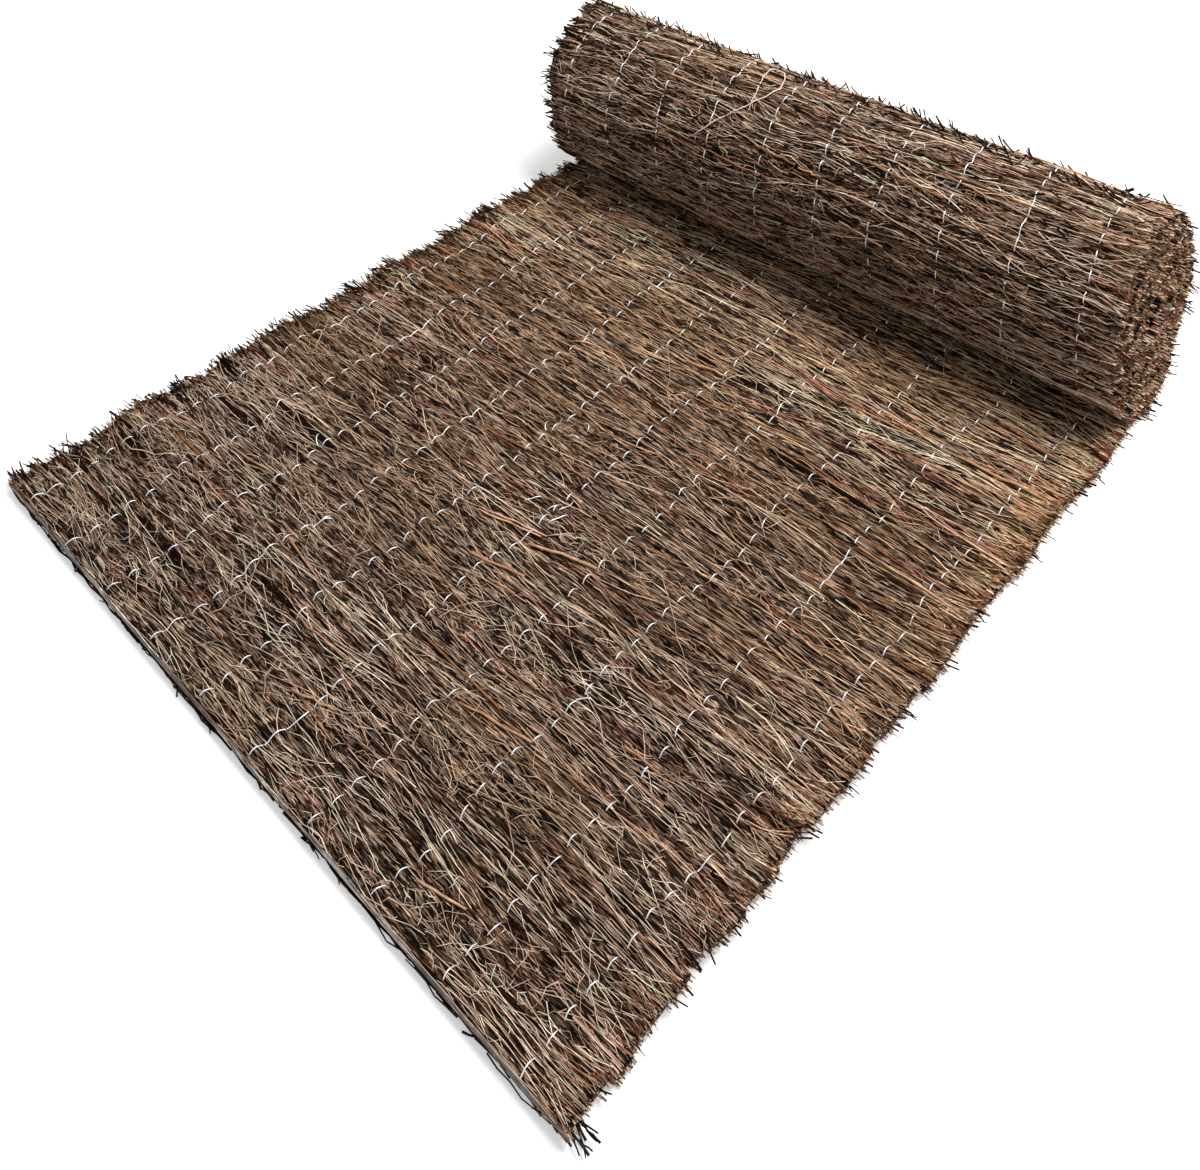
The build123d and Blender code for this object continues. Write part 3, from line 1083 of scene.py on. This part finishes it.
class HEATHER_OT_wires(bpy.types.Operator):
    """Stitch the wires over and under the bundles, in place of the plain ones"""

    bl_idname = "heather.wires"
    bl_label = "Binding wires"

    # Twisted ends that lie loose, along and across the mat
    loose = [
        (0.523, 0.056), (0.531, 0.030), (0.424, -0.042), (0.432, -0.054), (0.979, 0.335), (0.555, 0.017),
        (0.413, -0.012), (0.408, -0.060), (0.301, 0.250), (0.214, 0.148), (0.690, 0.152), (0.262, -0.246),
    ]

    def execute(self, context):
        material = wire_material()
        radius = context.scene.heather_wire.thickness / 2
        ups = np.array([[0.0, 1.0, 0.0]])
        for kind, last, on_face in (("face", FACE_WIRE_BUNDLES, True), ("back", BACK_WIRE_BUNDLES, False)):
            for row in range(WIRE_ROWS):
                chance = np.random.default_rng(800 + row + (0 if on_face else 50))
                path = wire_path(chance, row, last, on_face)
                name = f"{kind}_wire_{row + 1:02d}"
                piece = wire_piece(f"{name}_stitched", path[None], radius, ups, material)
                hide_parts(name)
        self.lay_loose(np.random.default_rng(880), 0.9 * radius, material)
        return {"FINISHED"}

    def lay_loose(self, chance, radius, material):
        """The loose ends, each a short bent piece that rises in its middle."""
        along, y = np.array(self.loose).T
        count, sections = len(along), 8
        share = np.linspace(-0.5, 0.5, sections)[None, :]
        length = chance.uniform(0.016, 0.034, (count, 1))
        turn = chance.uniform(-1.1, 1.1, (count, 1))
        bend = chance.uniform(-2.5, 2.5, (count, 1))
        bearing = turn + bend * share
        alongs = along[:, None] + np.cumsum(np.cos(bearing), 1) * length / sections
        ys = y[:, None] + np.cumsum(np.sin(bearing), 1) * length / sections
        paths = skin_point(alongs, ys, 0.0026 - 0.012 * share**2)
        wire_piece("loose_wire_ends", paths, radius, outward(along, y), material)


def floor_material():
    """A pale floor that glows a little to the camera, so that it looks white."""
    material, tree, shader = new_material("Floor")
    ray = add_node(tree, "LightPath", {}).outputs["Is Camera Ray"]
    shader.inputs["Base Color"].default_value = (0.9, 0.9, 0.9, 1)
    shader.inputs["Roughness"].default_value = 0.9
    shader.inputs["Emission Color"].default_value = (1, 1, 1, 1)
    tree.links.new(calculated(tree, "MULTIPLY", ray, 0.36), shader.inputs["Emission Strength"])
    return material


def white_sky(strength):
    """A world that lights with a strength of its own, and is plain white where a ray sees it."""
    world = bpy.data.worlds.new("Sky")
    world.use_nodes = True
    tree = world.node_tree
    ray = add_node(tree, "LightPath", {})
    seen = 0.0
    for kind in ("Is Camera Ray", "Is Glossy Ray", "Is Transmission Ray"):
        seen = calculated(tree, "ADD", seen, ray.outputs[kind], clamp=True)
    sky = tree.nodes["Background"]
    sky.inputs["Color"].default_value = (1, 1, 1, 1)
    tree.links.new(ranged(tree, seen, (0.0, 1.0), (strength, 1.0)), sky.inputs["Strength"])
    return world


class HEATHER_OT_stage(bpy.types.Operator):
    """Set up the pale floor, the soft light and the camera"""

    bl_idname = "heather.stage"
    bl_label = "Stage"

    def execute(self, context):
        stage = context.scene.heather_stage
        bpy.ops.object.select_all(action="DESELECT")
        bpy.ops.mesh.primitive_plane_add(size=40, location=(0, 0, 0))
        floor = context.object
        floor.name = "floor"
        floor.data.materials.append(floor_material())
        context.scene.world = white_sky(stage.sky)
        bpy.ops.object.light_add(type="AREA", location=(0.80, -0.55, 2.4))
        lamp = context.object
        lamp.data.shape = "DISK"
        lamp.data.size = 1.3
        lamp.data.energy = stage.lamp
        lamp.rotation_euler = (math.radians(13), math.radians(17), 0)
        bpy.ops.object.camera_add(location=stage.camera_place, rotation=stage.camera_turn)
        camera = context.object
        camera.data.lens = stage.lens
        camera.data.sensor_width = 36
        camera.data.shift_y = stage.rise
        camera.data.clip_start = 0.05
        camera.data.clip_end = 100
        context.scene.camera = camera
        context.scene.view_settings.view_transform = "Standard"
        return {"FINISHED"}


class HEATHER_PT_panel(bpy.types.Panel):
    """Lists the pieces of the heather screen and their settings"""

    bl_idname = "HEATHER_PT_panel"
    bl_label = "Heather screen"
    bl_space_type = "VIEW_3D"
    bl_region_type = "UI"
    bl_category = "Heather"

    def draw(self, context):
        for group in (
            context.scene.heather_twigs, context.scene.heather_colours,
            context.scene.heather_wire, context.scene.heather_stage,
        ):
            box = self.layout.box()
            for name in group.bl_rna.properties.keys():
                if name not in ("rna_type", "name"):
                    box.prop(group, name)
        for operator in OPERATORS:
            self.layout.operator(operator.bl_idname)


GROUPS = {
    "heather_twigs": HeatherTwigs,
    "heather_colours": HeatherColours,
    "heather_wire": HeatherWire,
    "heather_stage": HeatherStage,
}
OPERATORS = (
    HEATHER_OT_core,
    HEATHER_OT_flat_twigs,
    HEATHER_OT_roll_twigs,
    HEATHER_OT_edge_twigs,
    HEATHER_OT_cut_ends,
    HEATHER_OT_thick_twigs,
    HEATHER_OT_clefts,
    HEATHER_OT_strays,
    HEATHER_OT_wires,
    HEATHER_OT_stage,
)


def register():
    """Make the settings, the operators and the panel known."""
    for name, group in GROUPS.items():
        bpy.utils.register_class(group)
        setattr(bpy.types.Scene, name, bpy.props.PointerProperty(type=group))
    for made in (*OPERATORS, HEATHER_PT_panel):
        bpy.utils.register_class(made)


def unregister():
    """Take the panel, the operators and the settings away again."""
    for made in (HEATHER_PT_panel, *reversed(OPERATORS)):
        bpy.utils.unregister_class(made)
    for name, group in GROUPS.items():
        delattr(bpy.types.Scene, name)
        bpy.utils.unregister_class(group)


def main():
    """Make every piece."""
    register()
    bpy.ops.object.select_all(action="DESELECT")
    for operator in OPERATORS:
        getattr(bpy.ops.heather, operator.bl_idname.split(".")[1])()


if __name__ == "__main__":
    main()
